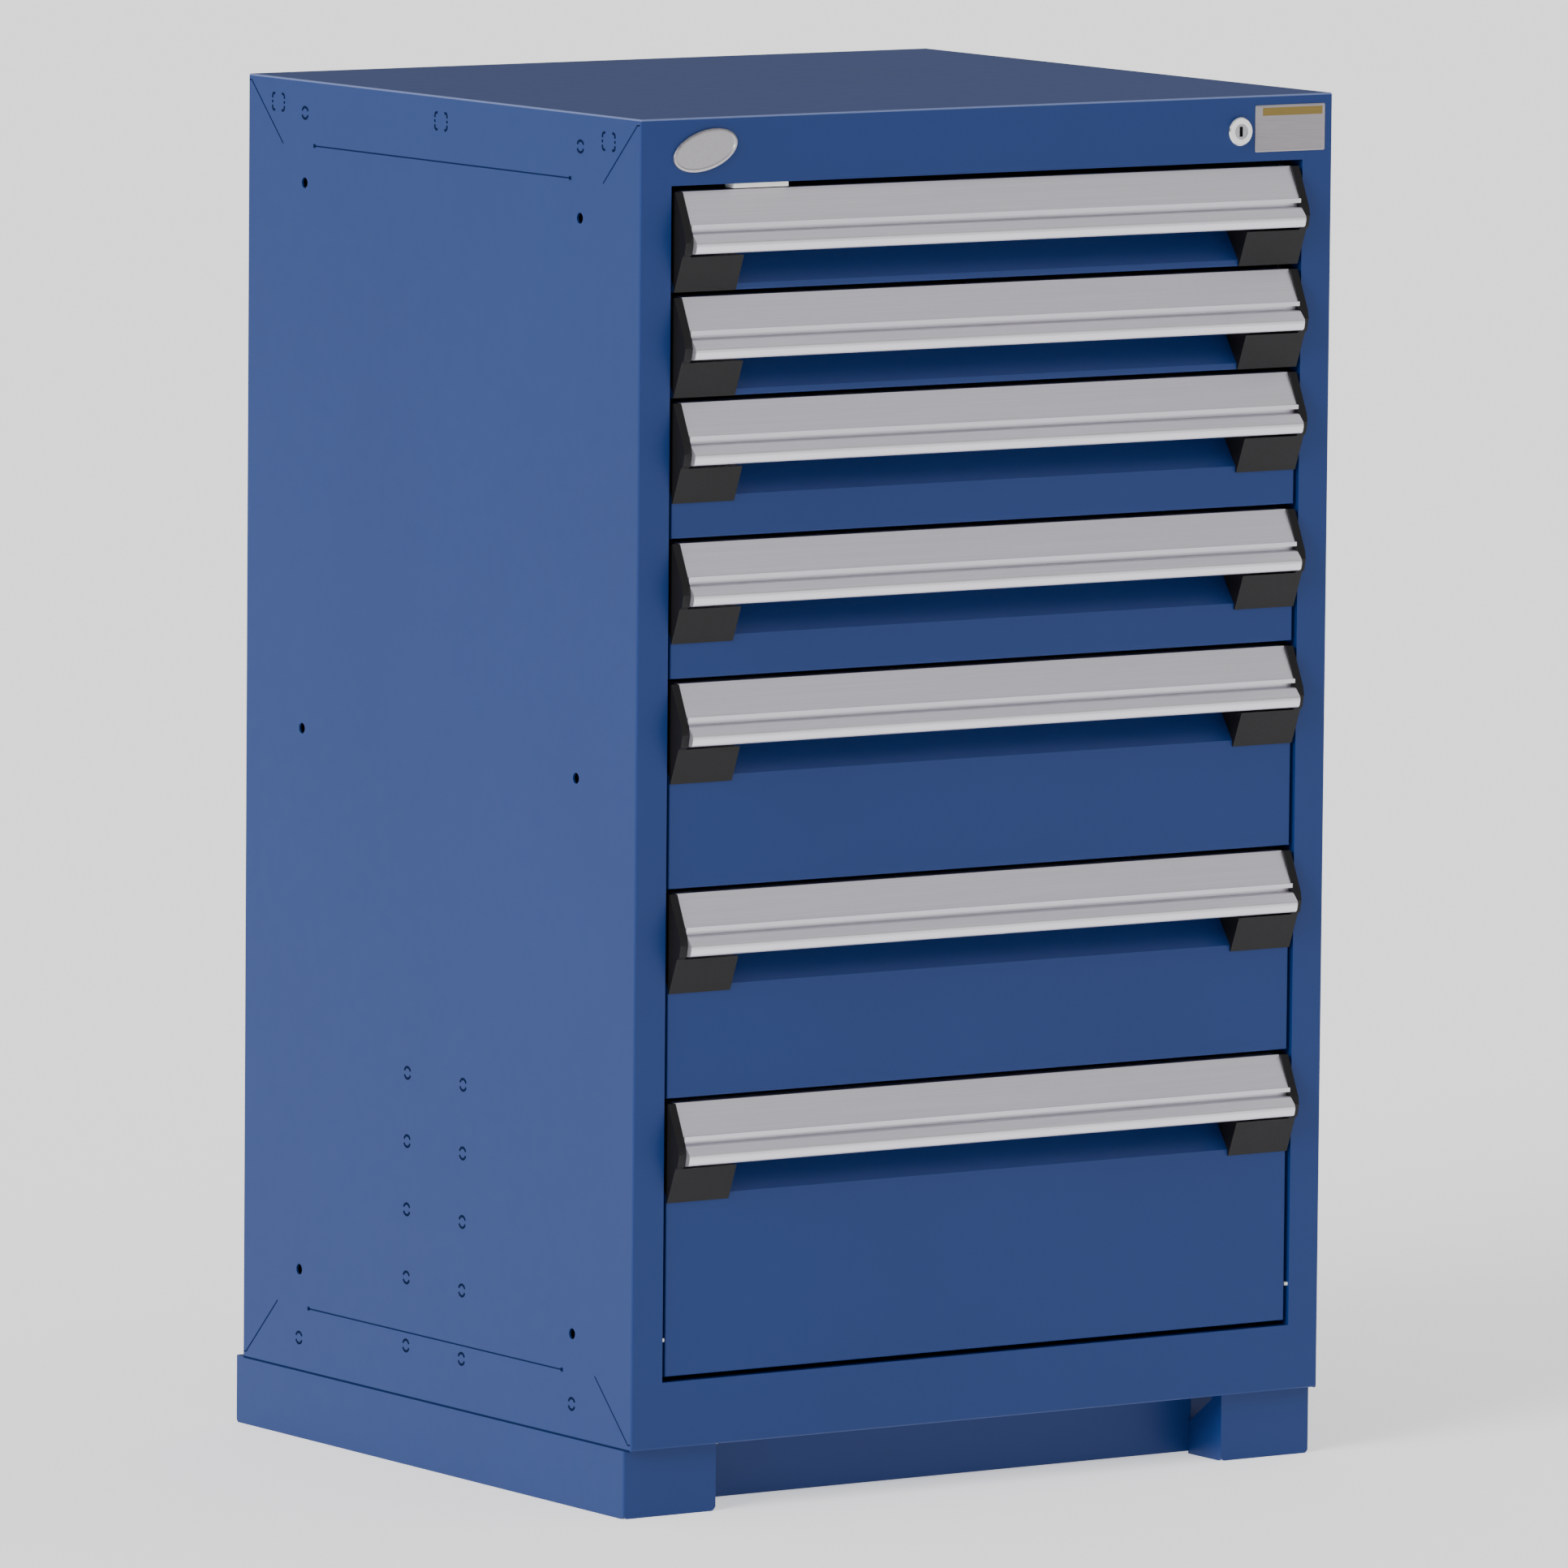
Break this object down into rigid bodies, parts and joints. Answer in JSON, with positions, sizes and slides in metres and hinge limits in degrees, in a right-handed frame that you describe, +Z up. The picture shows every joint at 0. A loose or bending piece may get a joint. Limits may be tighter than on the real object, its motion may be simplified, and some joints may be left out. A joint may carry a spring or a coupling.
{
  "type": "modular drawer cabinet",
  "caption": "Free-standing steel cabinet of full-width drawers with extruded handles, on roller slides, locked together by one bar, on a low base.",
  "frame": {"origin": "on the floor, under the centre of the cabinet's outline with its handles and base", "axes": "+X to the right seen from the front, +Y to the back, +Z up; the drawers open towards -Y"},
  "size_m": [0.6096, 0.562, 1.016],
  "materials": {
    "housing_paint": "satin powder coat",
    "base_paint": "satin powder coat",
    "front_paint": "satin powder coat",
    "box_paint": "satin powder coat",
    "rail_steel": "zinc plated",
    "roller_steel": "ground steel",
    "handle_aluminium": "satin anodised",
    "cap_plastic": "fine texture",
    "lock_chrome": "polished",
    "plug_metal": "turned",
    "lock_zinc": "zinc plated",
    "nylon": "plain moulded",
    "screw_steel": "zinc plated"
  },
  "bodies": {
    "housing": {"top_panel": "housing_paint", "bottom_panel": "housing_paint", "side_panel_left": "housing_paint", "side_panel_right": "housing_paint", "back_panel": "housing_paint", "uprights": "rail_steel", "fixed_rails": "rail_steel", "housing_screws": "screw_steel", "base_side_left": "base_paint", "base_side_right": "base_paint", "base_covers": "base_paint", "lock_barrel": "lock_chrome", "lock_bar_guides": "lock_zinc", "nylon_glides": "nylon"},
    "lock_plug": {"lock_plug": "plug_metal", "lock_cam": "lock_zinc"},
    "lock_bar": {"lock_bar": "lock_zinc", "lock_hooks": "lock_zinc"},
    "drawer_1": {"drawer_1_box": "box_paint", "drawer_1_front": "front_paint", "drawer_1_handle": "handle_aluminium", "drawer_1_end_caps": "cap_plastic"},
    "carriage_1": {"drawer_1_carriages": "rail_steel", "drawer_1_rollers": "roller_steel"},
    "drawer_2": {"drawer_2_box": "box_paint", "drawer_2_front": "front_paint", "drawer_2_handle": "handle_aluminium", "drawer_2_end_caps": "cap_plastic"},
    "carriage_2": {"drawer_2_carriages": "rail_steel", "drawer_2_rollers": "roller_steel"},
    "drawer_3": {"drawer_3_box": "box_paint", "drawer_3_front": "front_paint", "drawer_3_handle": "handle_aluminium", "drawer_3_end_caps": "cap_plastic"},
    "carriage_3": {"drawer_3_carriages": "rail_steel", "drawer_3_rollers": "roller_steel"},
    "drawer_4": {"drawer_4_box": "box_paint", "drawer_4_front": "front_paint", "drawer_4_handle": "handle_aluminium", "drawer_4_end_caps": "cap_plastic"},
    "carriage_4": {"drawer_4_carriages": "rail_steel", "drawer_4_rollers": "roller_steel"},
    "drawer_5": {"drawer_5_box": "box_paint", "drawer_5_front": "front_paint", "drawer_5_handle": "handle_aluminium", "drawer_5_end_caps": "cap_plastic"},
    "carriage_5": {"drawer_5_carriages": "rail_steel", "drawer_5_rollers": "roller_steel"},
    "drawer_6": {"drawer_6_box": "box_paint", "drawer_6_front": "front_paint", "drawer_6_handle": "handle_aluminium", "drawer_6_end_caps": "cap_plastic"},
    "carriage_6": {"drawer_6_carriages": "rail_steel", "drawer_6_rollers": "roller_steel"},
    "drawer_7": {"drawer_7_box": "box_paint", "drawer_7_front": "front_paint", "drawer_7_handle": "handle_aluminium", "drawer_7_end_caps": "cap_plastic"},
    "carriage_7": {"drawer_7_carriages": "rail_steel", "drawer_7_rollers": "roller_steel"}
  },
  "joints": [
    {"name": "lock_plug_turn", "type": "hinge", "parent": "housing", "child": "lock_plug", "pos_m": [0.2206, -0.2619, 0.99], "axis": [0, -1, 0], "range_deg": [0, 90]},
    {"name": "lock_bar_lift", "type": "slide", "parent": "housing", "child": "lock_bar", "axis": [0, 0, 1], "range_m": [0, 0.0198]},
    {"name": "drawer_1_slide", "type": "slide", "parent": "housing", "child": "drawer_1", "axis": [0, -1, 0], "range_m": [0, 0.4572]},
    {"name": "carriage_1_slide", "type": "slide", "parent": "housing", "child": "carriage_1", "axis": [0, -1, 0], "range_m": [0, 0.2286]},
    {"name": "drawer_2_slide", "type": "slide", "parent": "housing", "child": "drawer_2", "axis": [0, -1, 0], "range_m": [0, 0.4572]},
    {"name": "carriage_2_slide", "type": "slide", "parent": "housing", "child": "carriage_2", "axis": [0, -1, 0], "range_m": [0, 0.2286]},
    {"name": "drawer_3_slide", "type": "slide", "parent": "housing", "child": "drawer_3", "axis": [0, -1, 0], "range_m": [0, 0.4572]},
    {"name": "carriage_3_slide", "type": "slide", "parent": "housing", "child": "carriage_3", "axis": [0, -1, 0], "range_m": [0, 0.2286]},
    {"name": "drawer_4_slide", "type": "slide", "parent": "housing", "child": "drawer_4", "axis": [0, -1, 0], "range_m": [0, 0.4572]},
    {"name": "carriage_4_slide", "type": "slide", "parent": "housing", "child": "carriage_4", "axis": [0, -1, 0], "range_m": [0, 0.2286]},
    {"name": "drawer_5_slide", "type": "slide", "parent": "housing", "child": "drawer_5", "axis": [0, -1, 0], "range_m": [0, 0.4572]},
    {"name": "carriage_5_slide", "type": "slide", "parent": "housing", "child": "carriage_5", "axis": [0, -1, 0], "range_m": [0, 0.2286]},
    {"name": "drawer_6_slide", "type": "slide", "parent": "housing", "child": "drawer_6", "axis": [0, -1, 0], "range_m": [0, 0.4572]},
    {"name": "carriage_6_slide", "type": "slide", "parent": "housing", "child": "carriage_6", "axis": [0, -1, 0], "range_m": [0, 0.2286]},
    {"name": "drawer_7_slide", "type": "slide", "parent": "housing", "child": "drawer_7", "axis": [0, -1, 0], "range_m": [0, 0.4572]},
    {"name": "carriage_7_slide", "type": "slide", "parent": "housing", "child": "carriage_7", "axis": [0, -1, 0], "range_m": [0, 0.2286]}
  ],
  "couplings": [
    {"joint": "lock_plug_turn", "follows": "lock_bar_lift", "rad_per_m": 79.33},
    {"joint": "carriage_1_slide", "follows": "drawer_1_slide", "ratio": 0.5},
    {"joint": "carriage_2_slide", "follows": "drawer_2_slide", "ratio": 0.5},
    {"joint": "carriage_3_slide", "follows": "drawer_3_slide", "ratio": 0.5},
    {"joint": "carriage_4_slide", "follows": "drawer_4_slide", "ratio": 0.5},
    {"joint": "carriage_5_slide", "follows": "drawer_5_slide", "ratio": 0.5},
    {"joint": "carriage_6_slide", "follows": "drawer_6_slide", "ratio": 0.5},
    {"joint": "carriage_7_slide", "follows": "drawer_7_slide", "ratio": 0.5}
  ]
}
